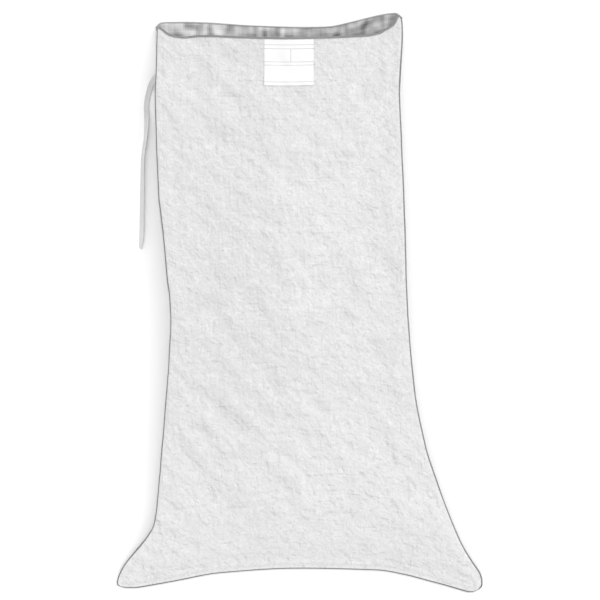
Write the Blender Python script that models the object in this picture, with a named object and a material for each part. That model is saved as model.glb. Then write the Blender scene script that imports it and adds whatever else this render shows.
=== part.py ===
"""An empty woven polypropylene sack, lying on its back with its front panel up and its mouth towards +Y.

The cloth is one flat woven tube, sewn shut at the bottom. Its sides fold softly inwards between the
front and the back panel, and these folds run out to nothing at the bottom seam, so that the two
bottom corners flare out to the full flat width of the tube.
"""

import math

import bmesh
import bpy
import numpy as np

# Sizes in metres
FLAT_WIDTH = 0.500  # the tube pressed flat, and so the length of the bottom seam
LEFT_LENGTH = 0.771  # from the bottom left corner to the left end of the mouth
RIGHT_LENGTH = 0.783  # the same on the right, where the mouth is pulled up a little
WALL = 0.0025  # stand-in thickness of the cloth
GAP = 0.0003  # air between two solids that touch
SEWN_STRIP = 0.012  # width of the bottom hem, where front and back are one
CREASE_RADIUS = 0.004  # rounding of the four long creases
MOUTH_EDGE = 0.0032  # width of the overcast thread edge round the mouth
MOUTH_LIFT = 0.002  # the rear of the mouth curls up by this much
SEAM_THREAD_HEIGHT = 0.007  # from the bottom edge up to the seam thread
SEAM_THREAD = (0.002, 0.001)  # width and thickness of the seam thread
LABEL_X = (-0.047, 0.020)  # left and right edge of the label
LABEL_LENGTH = 0.0655  # from the mouth edge down
SHEET = 0.001  # thickness of the label and of the tie tape
TAPE_WIDTH = 0.007

# Height above the bottom corner, and where the edge of the lying sack is at that height
LEFT_EDGE = [
    (0, -0.2473), (0.0025, -0.2492), (0.0055, -0.2491), (0.011, -0.2479), (0.018, -0.2453),
    (0.030, -0.2386), (0.045, -0.2268), (0.068, -0.2083), (0.086, -0.1981), (0.105, -0.1944),
    (0.130, -0.1918), (0.335, -0.1754), (0.365, -0.1741), (0.395, -0.1754), (0.425, -0.1789),
    (0.460, -0.1833), (0.530, -0.1902), (0.640, -0.1943), (0.735, -0.1934), (0.771, -0.1925),
]
RIGHT_EDGE = [
    (0, 0.2468), (0.0063, 0.2514), (0.0115, 0.2513), (0.0165, 0.2505), (0.0223, 0.2483),
    (0.038, 0.2379), (0.063, 0.2229), (0.100, 0.2068), (0.145, 0.1901), (0.200, 0.1722),
    (0.282, 0.1566), (0.392, 0.1476), (0.500, 0.1442), (0.590, 0.1406), (0.655, 0.1380),
    (0.700, 0.1384), (0.740, 0.1407), (0.766, 0.1410), (0.777, 0.1403), (0.783, 0.1387),
]
# Height above the bottom corner, and how far the front creases lie above the back panel there
CREASE_HEIGHT = [
    (0, WALL), (SEWN_STRIP, WALL), (0.031, 0.0095), (0.055, 0.0195), (0.092, 0.031),
    (0.147, 0.0415), (0.256, 0.052), (0.390, 0.058), (0.560, 0.058), (0.790, 0.054),
]
# Share of the way from left to right, and how far the line lies above the straight one there
SEAM_BOW = [
    (0, 0.0010), (0.008, -0.0007), (0.022, -0.0019), (0.04, -0.0019), (0.09, 0.0015),
    (0.16, 0.0077), (0.28, 0.0184), (0.5, 0.0247), (0.72, 0.0222), (0.8, 0.0154), (0.86, 0.0077),
    (0.92, -0.0003), (0.955, -0.0054), (0.975, -0.0078), (0.9835, -0.0076), (0.9925, -0.0061),
    (1, -0.0037),
]
MOUTH_BOW = [
    (0, -0.0015), (0.01, 0.0007), (0.025, 0.0017), (0.09, 0.0013), (0.2, -0.0009),
    (0.35, -0.0061), (0.5, -0.0099), (0.6, -0.0118), (0.7, -0.0125), (0.8, -0.0071),
    (0.9, -0.0001), (0.93, 0.0016), (0.96, 0.0028), (0.985, 0.0030), (1, 0.0003),
]
# The same share, and how far the front of the mouth lies back from the rear of the mouth
MOUTH_SETBACK = [
    (0, 0.0065), (0.02, 0.0130), (0.05, 0.0207), (0.075, 0.0231), (0.11, 0.0246), (0.17, 0.0223),
    (0.3, 0.0211), (0.5, 0.0201), (0.7, 0.0187), (0.8, 0.0234), (0.88, 0.0278), (0.907, 0.0280),
    (0.9335, 0.0250), (0.955, 0.0220), (0.968, 0.0193), (0.976, 0.0150), (0.985, 0.0092),
    (0.991, 0.0068), (1, 0.0080),
]
# The tie tape comes out of the left fold square to it, at this place along the sack
TAPE_ROOT = 0.697
TAPE_SEWN_LENGTH = 0.030
# Then it runs on the floor, down to its tip
TAPE_ON_FLOOR = [
    (-0.2072, 0.671), (-0.2089, 0.656), (-0.2085, 0.640), (-0.210, 0.612), (-0.2135, 0.586),
    (-0.2145, 0.530), (-0.215, 0.464),
]

PANEL_STEPS = 20
# Shares of the way across a panel, closer together near its two sides
EVEN_SHARES = np.linspace(0, 1, PANEL_STEPS + 1)[1:-1]
PANEL_SHARES = 0.16 * EVEN_SHARES + 0.42 * (1 - np.cos(math.pi * EVEN_SHARES))
ROUNDING_STEPS = 3
FOLD_STEPS = 6


def remove_everything():
    for thing in list(bpy.data.objects):
        bpy.data.objects.remove(thing, do_unlink=True)


def smooth_curve(knots, at):
    """The height at the given place of a smooth curve through the knots, without overshoot."""
    places = [knot[0] for knot in knots]
    heights = [knot[1] for knot in knots]
    steps = np.diff(places)
    slopes = np.diff(heights) / steps
    tangents = [slopes[0]]
    for before, after in zip(slopes[:-1], slopes[1:]):
        tangents.append(0.0 if before * after <= 0 else 2 * before * after / (before + after))
    tangents.append(slopes[-1])
    i = int(np.clip(np.searchsorted(places, at) - 1, 0, len(steps) - 1))
    t = float(np.clip((at - places[i]) / steps[i], 0, 1))
    return (
        heights[i] * (1 + 2 * t) * (1 - t) ** 2
        + tangents[i] * steps[i] * t * (1 - t) ** 2
        + heights[i + 1] * t * t * (3 - 2 * t)
        - tangents[i + 1] * steps[i] * t * t * (1 - t)
    )


def bezier(start, start_handle, end_handle, end, steps):
    """Points along one curve piece, without its last point."""
    points = []
    for i in range(steps):
        t = i / steps
        weights = ((1 - t) ** 3, 3 * t * (1 - t) ** 2, 3 * t * t * (1 - t), t ** 3)
        corners = (start, start_handle, end_handle, end)
        points.append(sum(w * np.array(c) for w, c in zip(weights, corners)))
    return points


def side_half(x_edge, inward, depth, height):
    """The left or right fold seen along the sack, from the end of the back panel to the front."""
    radius = min(CREASE_RADIUS, height / 4)
    middle = height / 2
    rise = middle - radius
    back_end = (x_edge + inward * radius, 0)
    back_crease = (x_edge, radius)
    fold = (x_edge + inward * depth, middle)
    front_crease = (x_edge, height - radius)
    front_end = (x_edge + inward * radius, height)
    round_handle = 0.55 * radius
    fold_handle = 0.95 * rise
    points = bezier(
        back_end,
        (back_end[0] - inward * round_handle, 0),
        (x_edge, radius - round_handle),
        back_crease,
        ROUNDING_STEPS,
    )
    points += bezier(
        back_crease,
        (x_edge, radius + fold_handle),
        (fold[0], middle - fold_handle),
        fold,
        FOLD_STEPS,
    )
    points += bezier(
        fold,
        (fold[0], middle + fold_handle),
        (x_edge, front_crease[1] - fold_handle),
        front_crease,
        FOLD_STEPS,
    )
    points += bezier(
        front_crease,
        (x_edge, front_crease[1] + round_handle),
        (front_end[0] - inward * round_handle, height),
        front_end,
        ROUNDING_STEPS,
    )
    points.append(np.array(front_end, float))
    return points


def section_sizes(v):
    """Left edge, right edge, crease height and fold depth at share v of the way up the sack."""
    left = smooth_curve(LEFT_EDGE, v * LEFT_LENGTH) + WALL / 2
    right = smooth_curve(RIGHT_EDGE, v * RIGHT_LENGTH) - WALL / 2
    height = smooth_curve(CREASE_HEIGHT, v * RIGHT_LENGTH)
    # Half of the cloth that the panels leave over goes into each side, folded in two
    spare = FLAT_WIDTH - (right - left)
    depth = math.sqrt(max(0.0, spare ** 2 - height ** 2)) / 2
    # A fold can't be tighter than the cloth allows
    rise = height / 2 - min(CREASE_RADIUS, height / 4)
    return left, right, height, min(depth, 500 * rise ** 2)


def crown(u, height):
    """How far the front panel rises between its creases."""
    return 0.25 * (height - WALL) * math.sin(math.pi * u) ** 2


def mouth_lift(v):
    """The mouth end of the sack curls up from the floor a little."""
    return MOUTH_LIFT * max(0.0, (v - 0.93) / 0.07) ** 2


def across(x, left, right):
    return float(np.clip((x - left) / (right - left), 0, 1))


def along(u, v, front_share):
    """Place along the length of the sack, from the bottom seam at v = 0 to the mouth at v = 1."""
    length = LEFT_LENGTH + u * (RIGHT_LENGTH - LEFT_LENGTH)
    bottom = smooth_curve(SEAM_BOW, u) * (1 - v) ** 1.5
    mouth = smooth_curve(MOUTH_BOW, u) * v ** 2
    setback = smooth_curve(MOUTH_SETBACK, u) * v * front_share
    return v * length + bottom + mouth - setback


def section(v, offset):
    """One ring of points round the sack, moved out of the middle of the cloth by the offset."""
    left, right, height, depth = section_sizes(v)
    radius = min(CREASE_RADIUS, height / 4)
    right_side = side_half(right, -1, depth, height)
    left_side = side_half(left, 1, depth, height)[::-1]
    ring = []
    for share in PANEL_SHARES:
        ring.append((left + radius + share * (right - left - 2 * radius), 0.0))
    ring += [tuple(point) for point in right_side]
    for share in PANEL_SHARES[::-1]:
        x = left + radius + share * (right - left - 2 * radius)
        ring.append((x, height + crown(share, height)))
    ring += [tuple(point) for point in left_side]
    flat = np.array(ring)
    tangent = np.roll(flat, -1, axis=0) - np.roll(flat, 1, axis=0)
    tangent /= np.linalg.norm(tangent, axis=1)[:, None]
    outward = np.stack([tangent[:, 1], -tangent[:, 0]], axis=1)
    moved = flat + outward * offset
    points = []
    for (x, z), (new_x, new_z) in zip(flat, moved):
        u = across(x, left, right)
        front_share = min(1.0, z / (2 * radius))
        points.append((new_x, along(u, v, front_share), new_z + WALL / 2 + mouth_lift(v)))
    return points


def new_object(name, bm, material):
    bmesh.ops.recalc_face_normals(bm, faces=bm.faces)
    mesh = bpy.data.meshes.new(name)
    bm.to_mesh(mesh)
    bm.free()
    mesh.materials.append(material)
    thing = bpy.data.objects.new(name, mesh)
    bpy.context.scene.collection.objects.link(thing)
    return thing


def new_material(name, color, roughness):
    material = bpy.data.materials.new(name)
    material.use_nodes = True
    shader = material.node_tree.nodes["Principled BSDF"]
    shader.inputs["Base Color"].default_value = (*color, 1.0)
    shader.inputs["Roughness"].default_value = roughness
    return material


def join_rings(bm, first, second):
    count = len(first)
    for i in range(count):
        j = (i + 1) % count
        bm.faces.new((first[i], first[j], second[j], second[i]))


def zip_shut(bm, ring):
    """Closes a ring by joining each point of the back to the one above it on the front."""
    # The ring starts one step right of the left end of the back panel, and its two folds lie
    # halfway round the right side and halfway round the left side.
    side_points = 2 * ROUNDING_STEPS + 2 * FOLD_STEPS + 1
    fold = (PANEL_STEPS - 1) + side_points // 2
    count = len(ring)
    for step in range(count // 2):
        a = ring[(fold - step) % count]
        b = ring[(fold - step - 1) % count]
        c = ring[(fold + step + 1) % count]
        d = ring[(fold + step) % count]
        corners = []
        for corner in (a, b, c, d):
            if corner not in corners:
                corners.append(corner)
        if len(corners) > 2:
            bm.faces.new(corners)


def sack_body(material):
    end = 1 - (MOUTH_EDGE + 3 * GAP) / LEFT_LENGTH
    closed = [0.0, 0.004, 0.009]
    open_heights = [0.0145, 0.018, 0.022, 0.027, 0.033, 0.040, 0.050, 0.063, 0.080, 0.100, 0.125]
    middle_heights = list(np.linspace(0.155, 0.680, 15))
    mouth_heights = list(np.linspace(0.700, LEFT_LENGTH * end, 5))
    heights = closed + open_heights + middle_heights + mouth_heights
    bm = bmesh.new()
    outer = [[bm.verts.new(p) for p in section(h / LEFT_LENGTH, WALL / 2)] for h in heights]
    hollow = heights[len(closed):]
    inner = [[bm.verts.new(p) for p in section(h / LEFT_LENGTH, -WALL / 2)] for h in hollow]
    for rings in (outer, inner):
        for first, second in zip(rings[:-1], rings[1:]):
            join_rings(bm, first, second)
        zip_shut(bm, rings[0])
    join_rings(bm, outer[-1], inner[-1])
    return new_object("sack_body", bm, material)


def mouth_edge(material):
    """The thread edge that is overcast round the raw edge of the mouth."""
    shares = [1 - MOUTH_EDGE / LEFT_LENGTH, 1.0]
    bm = bmesh.new()
    outer = [[bm.verts.new(p) for p in section(v, WALL / 2)] for v in shares]
    inner = [[bm.verts.new(p) for p in section(v, -WALL / 2)] for v in shares]
    join_rings(bm, outer[0], outer[1])
    join_rings(bm, inner[0], inner[1])
    join_rings(bm, outer[0], inner[0])
    join_rings(bm, outer[1], inner[1])
    return new_object("mouth_hem_thread", bm, material)


def solid_sheet(name, low_grid, high_grid, material):
    """A closed sheet from two grids of points, one under the other."""
    bm = bmesh.new()
    low = [[bm.verts.new(p) for p in row] for row in low_grid]
    high = [[bm.verts.new(p) for p in row] for row in high_grid]
    rows = len(low)
    columns = len(low[0])
    for i in range(rows - 1):
        for j in range(columns - 1):
            bm.faces.new((low[i][j], low[i][j + 1], low[i + 1][j + 1], low[i + 1][j]))
            bm.faces.new((high[i][j], high[i][j + 1], high[i + 1][j + 1], high[i + 1][j]))
    border = [(0, j) for j in range(columns - 1)]
    border += [(i, columns - 1) for i in range(rows - 1)]
    border += [(rows - 1, j) for j in range(columns - 1, 0, -1)]
    border += [(i, 0) for i in range(rows - 1, 0, -1)]
    for (i, j), (k, m) in zip(border, border[1:] + border[:1]):
        bm.faces.new((low[i][j], low[k][m], high[k][m], high[i][j]))
    return new_object(name, bm, material)


def front_surface(x, v):
    """A point on top of the front panel."""
    left, right, height, depth = section_sizes(v)
    radius = min(CREASE_RADIUS, height / 4)
    share = across(x, left + radius, right - radius)
    u = across(x, left, right)
    z = WALL + height + crown(share, height) + mouth_lift(v)
    return np.array((x, along(u, v, 1.0), z))


def label(material):
    top = 1 - (MOUTH_EDGE + 3 * GAP) / LEFT_LENGTH
    bottom = top - LABEL_LENGTH / LEFT_LENGTH
    low_grid = []
    high_grid = []
    for v in np.linspace(bottom, top, 7):
        low_row = []
        high_row = []
        for x in np.linspace(LABEL_X[0], LABEL_X[1], 9):
            point = front_surface(x, v)
            low_row.append(point + (0, 0, GAP))
            high_row.append(point + (0, 0, GAP + SHEET))
        low_grid.append(low_row)
        high_grid.append(high_row)
    return solid_sheet("label", low_grid, high_grid, material)


def seam_thread(material):
    """The thread of the bottom seam, on top of the sewn strip."""
    middle = SEAM_THREAD_HEIGHT
    width, thickness = SEAM_THREAD
    low_grid = []
    high_grid = []
    for rise in (middle - width / 2, middle + width / 2):
        v = rise / LEFT_LENGTH
        left, right, height, depth = section_sizes(v)
        low_row = []
        high_row = []
        for x in np.linspace(left + 0.006, right - 0.006, 33):
            y = along(across(x, left, right), v, 1.0)
            low_row.append((x, y, 2 * WALL + GAP))
            high_row.append((x, y, 2 * WALL + GAP + thickness))
        low_grid.append(low_row)
        high_grid.append(high_row)
    return solid_sheet("bottom_seam_thread", low_grid, high_grid, material)


def over_left_fold(inside, y, clearance):
    """A point above the cloth of the left fold that faces up, this far inside the left edge."""
    v = y / LEFT_LENGTH
    left, right, height, depth = section_sizes(v)
    lower_layer = np.array(side_half(left, 1, depth, height))
    lower_layer = lower_layer[ROUNDING_STEPS:ROUNDING_STEPS + FOLD_STEPS + 1]
    steps = np.gradient(lower_layer, axis=0)
    steps /= np.linalg.norm(steps, axis=1)[:, None]
    upward = np.stack([-steps[:, 1], steps[:, 0]], axis=1)
    above = lower_layer + upward * (WALL / 2 + clearance)
    x = left - WALL / 2 + inside
    z = float(np.interp(x, above[:, 0], above[:, 1]))
    return x, y, z + WALL / 2


def tape_line():
    """The middle line of the tie tape: it lies in the left fold, goes over the crease and drops."""
    points = []
    for inside in np.linspace(TAPE_SEWN_LENGTH, 0.003, 11):
        points.append(over_left_fold(inside, TAPE_ROOT, 1.5 * GAP + SHEET / 2))
    # Over the crease and down to the floor beside it
    x, y, z = points[-1]
    points.append((x - 0.005, y - 0.001, z - 0.003))
    points.append((x - 0.011, y - 0.010, z / 3))
    for x, y in TAPE_ON_FLOOR:
        points.append((x, y, SHEET / 2))
    return points


def through_points(points, steps):
    """A smooth line through the given points."""
    spread = np.array([points[0], *points, points[-1]], float)
    line = []
    for i in range(1, len(spread) - 2):
        before, start, end, after = spread[i - 1:i + 3]
        for t in np.linspace(0, 1, steps, endpoint=False):
            line.append(0.5 * (
                2 * start
                + (end - before) * t
                + (2 * before - 5 * start + 4 * end - after) * t ** 2
                + (3 * start - before - 3 * end + after) * t ** 3
            ))
    line.append(spread[-1])
    return np.array(line)


def tie_tape(material):
    line = through_points(tape_line(), 4)
    line[:, 2] = np.maximum(line[:, 2], SHEET / 2)
    tangents = np.gradient(line, axis=0)
    tangents /= np.linalg.norm(tangents, axis=1)[:, None]
    steps = np.linalg.norm(np.diff(line, axis=0), axis=1)
    from_tip = np.concatenate([np.cumsum(steps[::-1])[::-1], [0.0]])
    low_grid = []
    high_grid = []
    for point, tangent, rest in zip(line, tangents, from_tip):
        sideways = np.cross(tangent, (0, 0, 1))
        sideways /= np.linalg.norm(sideways)
        up = np.cross(sideways, tangent)
        half = TAPE_WIDTH / 2
        # The tip is cut round
        if rest < half:
            half = math.sqrt(max(0.0004 ** 2, half ** 2 - (half - rest) ** 2))
        edges = (point - sideways * half, point + sideways * half)
        low_grid.append([edge - up * SHEET / 2 for edge in edges])
        high_grid.append([edge + up * SHEET / 2 for edge in edges])
    return solid_sheet("tie_tape", low_grid, high_grid, material)


def centre_on_floor(things, measured):
    """Moves all so that the box of the measured ones stands centred on the floor."""
    corners = np.array([v.co for thing in measured for v in thing.data.vertices])
    low = corners.min(axis=0)
    high = corners.max(axis=0)
    shift = np.array(((low[0] + high[0]) / 2, (low[1] + high[1]) / 2, low[2]))
    for thing in things:
        for vertex in thing.data.vertices:
            vertex.co = np.array(vertex.co) - shift
    print("box of the sack, m", np.round(high - low, 4), "moved by", np.round(-shift, 4))


remove_everything()
cloth = new_material("woven_cloth", (0.80, 0.80, 0.79), 0.55)
grey_thread = new_material("grey_thread", (0.36, 0.36, 0.36), 0.7)
white_thread = new_material("white_thread", (0.74, 0.74, 0.73), 0.7)
tape_white = new_material("tape_white", (0.62, 0.62, 0.61), 0.5)
label_white = new_material("label_white", (0.90, 0.90, 0.90), 0.45)

body = sack_body(cloth)
sewn = [body, mouth_edge(grey_thread), seam_thread(white_thread), label(label_white)]
tape = tie_tape(tape_white)
centre_on_floor(sewn + [tape], sewn)
for thing in sewn + [tape]:
    print(thing.name, len(thing.data.polygons), "faces")
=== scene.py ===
# %% [markdown]
# An empty woven sack on a pale floor
#
# The object is an empty sack of woven white polypropylene tape. It lies on its back, its mouth
# towards +Y, and the camera looks straight down at it. The solids from the CAD step give the places
# and sizes. This lesson puts real-looking cloth, thread and tape on them: first camera, light and
# floor, then the cloth, its two sewn edges and its label, and last the loose tie tape.

import math

import bmesh
import bpy
import numpy as np
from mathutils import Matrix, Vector, noise


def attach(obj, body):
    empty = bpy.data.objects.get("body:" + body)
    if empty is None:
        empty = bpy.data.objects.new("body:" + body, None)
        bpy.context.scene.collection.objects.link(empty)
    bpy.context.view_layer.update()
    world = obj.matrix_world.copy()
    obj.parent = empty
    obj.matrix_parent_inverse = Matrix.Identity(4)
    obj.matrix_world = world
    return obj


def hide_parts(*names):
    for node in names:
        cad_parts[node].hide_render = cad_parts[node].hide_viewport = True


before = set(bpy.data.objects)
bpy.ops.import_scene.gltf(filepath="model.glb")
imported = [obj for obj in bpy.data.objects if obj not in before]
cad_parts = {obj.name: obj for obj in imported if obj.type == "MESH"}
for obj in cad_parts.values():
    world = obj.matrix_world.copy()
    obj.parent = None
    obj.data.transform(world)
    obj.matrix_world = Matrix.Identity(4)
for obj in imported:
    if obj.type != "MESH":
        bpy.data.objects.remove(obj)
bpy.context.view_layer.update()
print("nodes:", sorted(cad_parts))

# %% [markdown]
# The camera
#
# The sack is seen flat from the front, with no perspective to speak of. An orthographic camera
# would do, but a very long lens far away gives nearly the same picture and can still be moved round
# the sack. The lens follows from the width of floor that fills the picture.

# %% Camera straight above the sack
PICTURE_WIDTH = 0.822  # metres of floor across the square picture
CAMERA_HEIGHT = 4.5
PICTURE_CENTRE = (0.0004, 0.0033)  # what the middle of the picture looks at
NEAREST, FARTHEST = 0.1, 100  # what the camera sees, from here to there

scene = bpy.context.scene


def put_in_scene(name, data):
    """An object of that name for a camera, a light or a mesh."""
    thing = bpy.data.objects.new(name, data)
    scene.collection.objects.link(thing)
    return thing


camera_data = bpy.data.cameras.new("camera")
camera_data.lens = camera_data.sensor_width * CAMERA_HEIGHT / PICTURE_WIDTH
camera_data.clip_start = NEAREST
camera_data.clip_end = FARTHEST
camera = put_in_scene("camera", camera_data)
camera.location = (*PICTURE_CENTRE, CAMERA_HEIGHT)
scene.camera = camera
print("lens in mm:", round(camera_data.lens))

# %% [markdown]
# Light and floor
#
# White cloth on a white floor shows its shape only by small steps of grey, so the light has to be
# even and the tone curve plain. A bright sky of one colour fills every hollow, and one very wide
# sun adds the slope that makes crinkles readable. It comes from the side of the mouth, so that
# some of it reaches the inside of the rear panel under the front rim.

# %% Sky, sun and tone curve
SKY_LIGHT = 1.10
SUN_LIGHT = 1.02
SUN_WIDTH = math.radians(100)
SUN_HEIGHT = math.radians(44)
SUN_FROM = math.radians(45)  # seen from above, counted from +X

scene.view_settings.view_transform = "Standard"
world = bpy.data.worlds.new("soft_sky")
world.use_nodes = True
sky = world.node_tree.nodes["Background"]
sky.inputs["Color"].default_value = (1.0, 1.0, 1.0, 1.0)
sky.inputs["Strength"].default_value = SKY_LIGHT
scene.world = world

sun_data = bpy.data.lights.new("wide_sun", "SUN")
sun_data.energy = SUN_LIGHT
sun_data.angle = SUN_WIDTH
towards_sun = Vector((
    math.cos(SUN_FROM) * math.cos(SUN_HEIGHT),
    math.sin(SUN_FROM) * math.cos(SUN_HEIGHT),
    math.sin(SUN_HEIGHT),
))
put_in_scene("wide_sun", sun_data).rotation_euler = towards_sun.to_track_quat("Z", "Y").to_euler()
print("sun comes from", [round(c, 2) for c in towards_sun])


# %% Helpers that add nodes and join them
def feed(socket, value):
    """Links another node's output to a socket, or sets a plain value on it."""
    if isinstance(value, bpy.types.NodeSocket):
        socket.id_data.links.new(value, socket)
    else:
        socket.default_value = value


def node_maker(tree):
    """A function that adds nodes to this tree: kind, settings, and what goes into its sockets."""
    def add(kind, settings=(), **inputs):
        node = tree.nodes.new(kind)
        for key, value in dict(settings).items():
            setattr(node, key, value)
        for key, value in inputs.items():
            # _2 stands for the socket with the number 2
            feed(node.inputs[int(key[1:]) if key[0] == "_" else key], value)
        return node

    return add


def new_material(name):
    """A material, its Principled shader and a function that adds nodes."""
    material = bpy.data.materials.new(name)
    material.use_nodes = True
    tree = material.node_tree
    return material, tree.nodes["Principled BSDF"], node_maker(tree)


# %% Helpers for patterns and colours
def clouds(add, place, scale, detail=2.0, roughness=0.5):
    """Soft noise, about 0.5 on average."""
    return add("ShaderNodeTexNoise", Vector=place, Scale=scale, Detail=detail,
               Roughness=roughness).outputs["Fac"]


def on_object(add):
    """Place on the piece itself, in metres."""
    return add("ShaderNodeTexCoord").outputs["Object"]


def blend_colours(add, share, low, high):
    """A colour between two others."""
    return add("ShaderNodeMix", {"data_type": "RGBA"}, _0=share, _6=low, _7=high).outputs[2]


def grey(level):
    """A colour from a grey as a screen shows it, 0 to 255, by the usual sRGB curve."""
    share = level / 255
    linear = share / 12.92 if share < 0.04 else ((share + 0.055) / 1.055) ** 2.4
    return (linear, linear, linear, 1.0)


print("a screen grey of 231 is", round(grey(231)[0], 3), "of full light")

# %% Floor
FLOOR_SIZE = 40.0

floor_mesh = bpy.data.meshes.new("floor")
half = FLOOR_SIZE / 2
corners = [(-half, -half, 0), (half, -half, 0), (half, half, 0), (-half, half, 0)]
floor_mesh.from_pydata(corners, [], [(0, 1, 2, 3)])
floor = put_in_scene("floor", floor_mesh)
floor_white, shader, add = new_material("floor_white")
patches = clouds(add, on_object(add), 2.0)
feed(shader.inputs["Base Color"], blend_colours(add, patches, grey(250), grey(253)))
shader.inputs["Roughness"].default_value = 0.9
shader.inputs["Specular IOR Level"].default_value = 0.2
floor_mesh.materials.append(floor_white)
print("floor side in m:", FLOOR_SIZE)

# %% [markdown]
# The shape of the lying sack
#
# The sack is one flat woven tube of 1 metre round. It lies narrower than when it is pressed flat,
# so the cloth that is left over folds inwards on both sides, as in a gusset. Every cross section
# is therefore an M on its side: rear panel, rear crease, a fold in, a fold out, front crease and
# front panel. A cloth simulation would find some such shape, but not this outline. Here a rule gives
# each section from a few curves along the sack and across it. The solids follow the same rule, and
# the edges here lie within 2 mm of theirs, a little nearer to the outline of the real sack.

# %% Curves along and across the sack
FLAT_WIDTH = 0.500  # the tube pressed flat
LEFT_LENGTH = 0.771
RIGHT_LENGTH = 0.783
WALL = 0.0025  # thickness of the cloth in the solids
CREASE_RADIUS = 0.004
BOTTOM_LINE = -0.3891  # where the straight line through the two bottom corners lies
SIDE_SHIFT = -0.0011  # moves the sack so that it lies centred
MOUTH_LIFT = 0.002  # the mouth curls up off the floor by this much
CURL_FROM = 0.93  # share of the length where that begins
FOLD_GROWTH = 500  # how fast a fold deepens with the height of its creases, per metre
FOLD_ROUND = 0.95  # how round its tip is, as a share of the height there
QUARTER_TURN = 0.55  # length of a curve's handle on a quarter of a circle, in radii
CROWN = 0.25  # how far the front panel bulges, as a share of the crease height

# Height above the bottom corner, and where the edge of the lying sack is at that height
LEFT_EDGE = [
    (0, -0.2473), (0.0025, -0.2492), (0.0055, -0.2491), (0.011, -0.2479), (0.018, -0.2453),
    (0.030, -0.2386), (0.045, -0.2268), (0.068, -0.2083), (0.086, -0.1981), (0.105, -0.1944),
    (0.130, -0.1918), (0.335, -0.1754), (0.365, -0.1741), (0.395, -0.1754), (0.425, -0.1789),
    (0.450, -0.1811), (0.470, -0.1828), (0.490, -0.1847), (0.512, -0.1874), (0.535, -0.1902),
    (0.640, -0.1943), (0.677, -0.1952), (0.710, -0.1939), (0.735, -0.1934), (0.771, -0.1925),
]
RIGHT_EDGE = [
    (0, 0.2468), (0.0063, 0.2514), (0.0115, 0.2513), (0.0165, 0.2505), (0.0223, 0.2483),
    (0.038, 0.2379), (0.063, 0.2229), (0.100, 0.2068), (0.145, 0.1901), (0.200, 0.1722),
    (0.282, 0.1566), (0.392, 0.1476), (0.500, 0.1440), (0.590, 0.1406), (0.655, 0.1378),
    (0.684, 0.1368), (0.706, 0.1379), (0.740, 0.1404), (0.766, 0.1409), (0.777, 0.1403),
    (0.783, 0.1387),
]
# Height above the bottom corner, and how far the front creases lie above the rear panel there
CREASE_HEIGHT = [
    (0, WALL), (0.012, WALL), (0.031, 0.0095), (0.055, 0.0195), (0.092, 0.031),
    (0.147, 0.0415), (0.256, 0.052), (0.390, 0.058), (0.560, 0.058), (0.790, 0.054),
]
# Share of the way from left to right, and how far the line lies above the straight one there
SEAM_BOW = [
    (0, 0.0010), (0.008, -0.0007), (0.022, -0.0019), (0.04, -0.0019), (0.09, 0.0015),
    (0.16, 0.0077), (0.28, 0.0184), (0.5, 0.0247), (0.72, 0.0222), (0.8, 0.0154), (0.86, 0.0077),
    (0.92, -0.0003), (0.955, -0.0054), (0.975, -0.0078), (0.9835, -0.0076), (0.9925, -0.0061),
    (1, -0.0037),
]
MOUTH_BOW = [
    (0, -0.0015), (0.01, 0.0007), (0.025, 0.0017), (0.09, 0.0013), (0.2, -0.0009),
    (0.35, -0.0061), (0.5, -0.0099), (0.6, -0.0118), (0.7, -0.0125), (0.8, -0.0071),
    (0.9, -0.0001), (0.93, 0.0016), (0.96, 0.0028), (0.985, 0.0030), (1, 0.0003),
]
# The same share, and how far the front of the mouth lies back from the rear of the mouth
MOUTH_SETBACK = [
    (0, 0.0065), (0.02, 0.0130), (0.05, 0.0207), (0.075, 0.0231), (0.11, 0.0246), (0.17, 0.0223),
    (0.3, 0.0211), (0.5, 0.0201), (0.7, 0.0187), (0.8, 0.0234), (0.88, 0.0278), (0.907, 0.0280),
    (0.9335, 0.0250), (0.955, 0.0220), (0.968, 0.0193), (0.976, 0.0150), (0.985, 0.0092),
    (0.991, 0.0068), (1, 0.0080),
]


def smooth_curve(knots, at):
    """Heights at the given places of a smooth curve through the knots, without overshoot."""
    places, heights = np.array(knots, float).T
    steps = np.diff(places)
    slopes = np.diff(heights) / steps
    tangents = np.concatenate([slopes[:1], np.zeros(len(slopes) - 1), slopes[-1:]])
    rising = slopes[:-1] * slopes[1:] > 0
    total = np.where(rising, slopes[:-1] + slopes[1:], 1.0)
    tangents[1:-1] = np.where(rising, 2 * slopes[:-1] * slopes[1:] / total, 0.0)
    at = np.asarray(at, float)
    i = np.clip(np.searchsorted(places, at) - 1, 0, len(steps) - 1)
    t = np.clip((at - places[i]) / steps[i], 0, 1)
    return (
        heights[i] * (1 + 2 * t) * (1 - t) ** 2
        + tangents[i] * steps[i] * t * (1 - t) ** 2
        + heights[i + 1] * t * t * (3 - 2 * t)
        - tangents[i + 1] * steps[i] * t * t * (1 - t)
    )


print("edge to edge at mid length, mm:", round(1000 * float(
    smooth_curve(RIGHT_EDGE, 0.39) - smooth_curve(LEFT_EDGE, 0.39))))


# %% One cross section, for all places along the sack at once
def section_sizes(v):
    """Left and right edge, crease height and radius, and fold depth at shares v of the length."""
    left = smooth_curve(LEFT_EDGE, v * LEFT_LENGTH) + WALL / 2
    right = smooth_curve(RIGHT_EDGE, v * RIGHT_LENGTH) - WALL / 2
    height = smooth_curve(CREASE_HEIGHT, v * RIGHT_LENGTH)
    radius = np.minimum(CREASE_RADIUS, height / 4)
    spare = FLAT_WIDTH - (right - left)
    depth = np.sqrt(np.maximum(0.0, spare ** 2 - height ** 2)) / 2
    rise = height / 2 - radius
    return left, right, height, radius, np.minimum(depth, FOLD_GROWTH * rise ** 2)


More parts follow.
